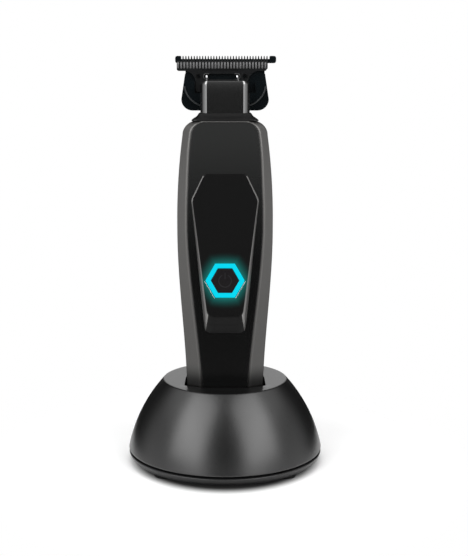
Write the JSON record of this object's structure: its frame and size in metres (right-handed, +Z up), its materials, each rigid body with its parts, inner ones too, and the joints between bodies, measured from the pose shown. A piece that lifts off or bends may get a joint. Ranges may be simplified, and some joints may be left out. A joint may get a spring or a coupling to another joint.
{
  "type": "hair clipper",
  "caption": "Cordless T-blade hair trimmer with bevelled body, raised thumb pad, lit hexagonal power button and round charging stand.",
  "frame": {"origin": "on the table under the middle of the stand's base", "axes": "+Z up along the trimmer, -Y the way the trimmer's face and power button look, +X to the viewer's right"},
  "size_m": [0.0834, 0.0834, 0.1709],
  "materials": {
    "stand_black": "satin",
    "cup_black": "matte",
    "base_grey": "satin",
    "steel": "plain",
    "rubber_black": "matte",
    "board_green": "plain",
    "inlet_black": "matte",
    "spring_steel": "bright",
    "contact_gold": "plated",
    "shell_metal": "satin metallic",
    "plate_black": "satin",
    "pad_black": "satin",
    "ring_cyan": "lit translucent",
    "button_black": "satin",
    "inner_plastic": "plain",
    "cell_green": "plain",
    "chip_black": "plain",
    "motor_steel": "plain",
    "bronze": "plain",
    "copper": "enamelled",
    "neck_grey": "satin",
    "collar_black": "satin",
    "blade_black": "coated satin",
    "cutter_grey": "coated satin"
  },
  "bodies": {
    "stand": {"stand_shell": "stand_black", "stand_cup": "cup_black", "stand_base": "base_grey", "stand_weight": "steel", "stand_feet": "rubber_black", "stand_screws": "steel", "pin_block": "inlet_black", "charge_board": "board_green", "inlet_jack": "inlet_black", "pin_spring_left": "spring_steel", "pin_spring_right": "spring_steel"},
    "contact_pin_left": {"contact_pin_left": "contact_gold"},
    "contact_pin_right": {"contact_pin_right": "contact_gold"},
    "trimmer": {"front_shell": "shell_metal", "rear_shell": "shell_metal", "face_plate": "plate_black", "button_pad": "pad_black", "light_ring": "ring_cyan", "foot_cap": "cup_black", "charge_pads": "contact_gold", "body_screws": "steel", "chassis": "inner_plastic", "battery_cell": "cell_green", "battery_tabs": "spring_steel", "control_board": "board_green", "board_chips": "chip_black", "tact_switch": "chip_black", "status_leds": "inner_plastic", "motor_can": "motor_steel", "stator_core": "motor_steel", "stator_coils": "copper", "motor_end_cap": "inlet_black", "motor_bushes": "bronze", "motor_cradle": "inner_plastic", "neck_collar": "collar_black", "neck_housing": "neck_grey", "blade_mount": "blade_black", "fixed_blade": "blade_black", "blade_screws": "steel", "blade_spring": "spring_steel"},
    "power_button": {"power_button": "button_black", "switch_plunger": "inner_plastic"},
    "cutter": {"moving_blade": "cutter_grey", "cam_follower": "inner_plastic"},
    "rotor": {"rotor_magnet": "chip_black", "motor_shaft": "spring_steel", "drive_cam": "inner_plastic"}
  },
  "joints": [
    {"name": "trimmer_lift", "type": "slide", "parent": "stand", "child": "trimmer", "axis": [0, 0, 1], "range_m": [0, 0.03]},
    {"name": "left_pin_press", "type": "slide", "parent": "stand", "child": "contact_pin_left", "axis": [0, 0, -1], "range_m": [0, 0.001], "stiffness_N_per_m": 300, "deforming": ["pin_spring_left"]},
    {"name": "right_pin_press", "type": "slide", "parent": "stand", "child": "contact_pin_right", "axis": [0, 0, -1], "range_m": [0, 0.001], "stiffness_N_per_m": 300, "deforming": ["pin_spring_right"]},
    {"name": "power_press", "type": "slide", "parent": "trimmer", "child": "power_button", "axis": [0, 0.9987, -0.0502], "range_m": [0, 0.0004], "stiffness_N_per_m": 1500},
    {"name": "blade_stroke", "type": "slide", "parent": "trimmer", "child": "cutter", "axis": [1, 0, 0], "range_m": [0, 0.0027], "deforming": ["blade_spring"]},
    {"name": "motor_spin", "type": "hinge", "parent": "trimmer", "child": "rotor", "pos_m": [0, -0.0039, 0.12], "axis": [0, 0, 1], "continuous": true}
  ]
}
